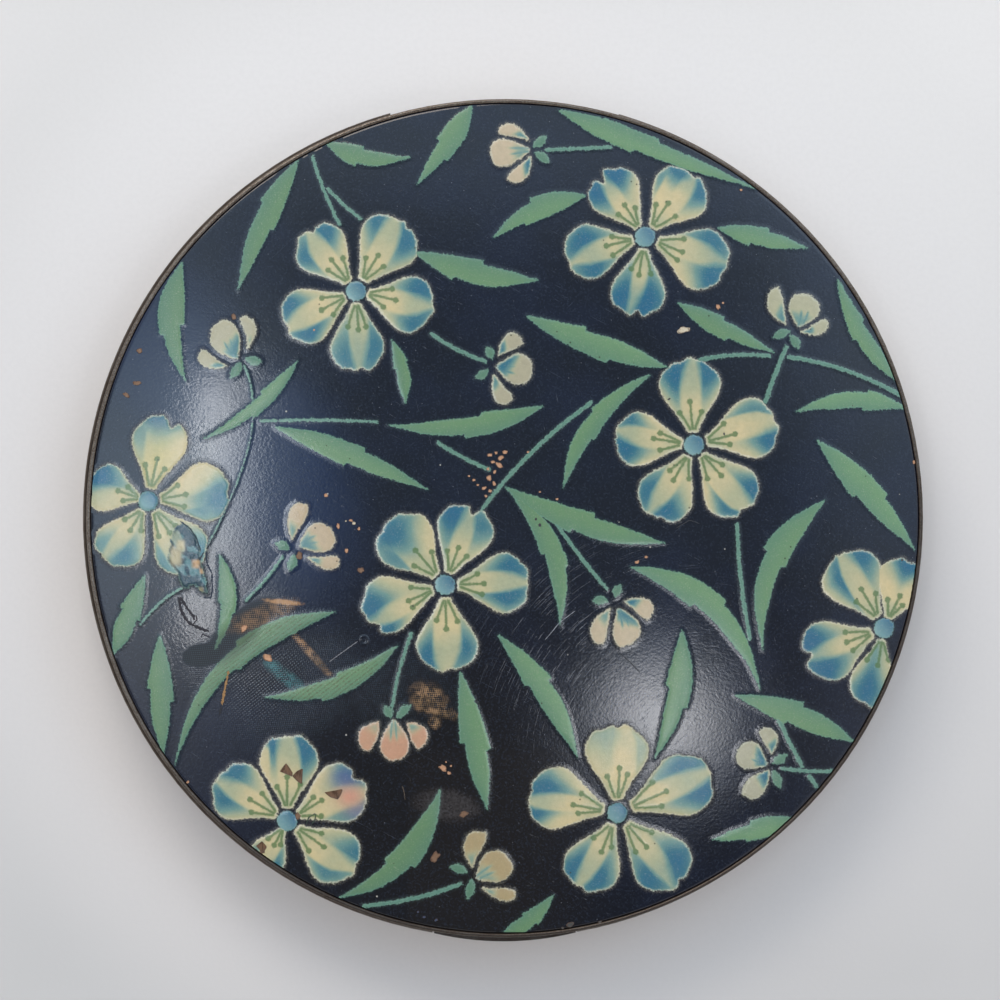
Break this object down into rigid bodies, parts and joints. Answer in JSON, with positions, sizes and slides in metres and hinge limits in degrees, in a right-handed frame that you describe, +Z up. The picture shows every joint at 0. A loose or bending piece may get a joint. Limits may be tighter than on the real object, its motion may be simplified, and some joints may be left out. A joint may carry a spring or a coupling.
{
  "type": "compact mirror",
  "caption": "Round vintage powder compact with a domed, blossom-decorated lacquer lid, a mirror inside it, a push catch and a powder well under an inner door.",
  "frame": {"origin": "centre of the flat underside, on the surface the closed compact lies on", "axes": "+Z up through the lid, -Y towards the front catch, +Y towards the hinge, +X to the right seen from above with the catch at the bottom"},
  "size_m": [0.086, 0.0858, 0.0151],
  "materials": {
    "aged_bronze": "worn satin",
    "gilt_brass": "satin",
    "spring_steel": "satin",
    "plated_steel": "satin",
    "lacquered_film": "gloss",
    "mirror_glass": "polished",
    "backing_card": "matte",
    "puff_velour": "matte",
    "puff_satin": "satin",
    "ribbon": "satin"
  },
  "bodies": {
    "base": {"base_shell": "aged_bronze", "powder_tray": "gilt_brass", "base_hinge_leaf": "gilt_brass", "hinge_pin": "spring_steel", "catch_guide": "gilt_brass", "catch_spring": "spring_steel", "sifter_ring": "gilt_brass", "sifter_screen": "plated_steel", "puff_pad": "puff_velour", "puff_backing": "puff_satin", "puff_ribbon": "ribbon", "tray_hinge_leaf": "gilt_brass", "door_hinge_pin": "spring_steel", "door_spring": "spring_steel"},
    "lid": {"lid_shell": "aged_bronze", "lid_panel": "lacquered_film", "lid_hinge_leaf": "gilt_brass", "mirror_backing": "backing_card", "mirror": "mirror_glass", "mirror_ring": "gilt_brass", "lid_tongue": "gilt_brass"},
    "powder_door": {"door_plate": "gilt_brass", "door_hinge_leaf": "gilt_brass"},
    "catch": {"catch_button": "aged_bronze", "latch_plate": "gilt_brass"}
  },
  "joints": [
    {"name": "lid_hinge", "type": "hinge", "parent": "base", "child": "lid", "pos_m": [0, 0.04085, 0.009], "axis": [-1, 0, 0], "range_deg": [0, 105]},
    {"name": "door_hinge", "type": "hinge", "parent": "base", "child": "powder_door", "pos_m": [0, 0.0336, 0.0093], "axis": [-1, 0, 0], "range_deg": [0, 84], "deforming": ["door_spring"]},
    {"name": "catch_slide", "type": "slide", "parent": "base", "child": "catch", "axis": [0, 1, 0], "range_m": [0, 0.0007], "stiffness_N_per_m": 300, "springref_m": -0.002, "deforming": ["catch_spring"]}
  ],
  "couplings": [
    {"joint": "door_hinge", "follows": "lid_hinge", "ratio": 0.8}
  ]
}
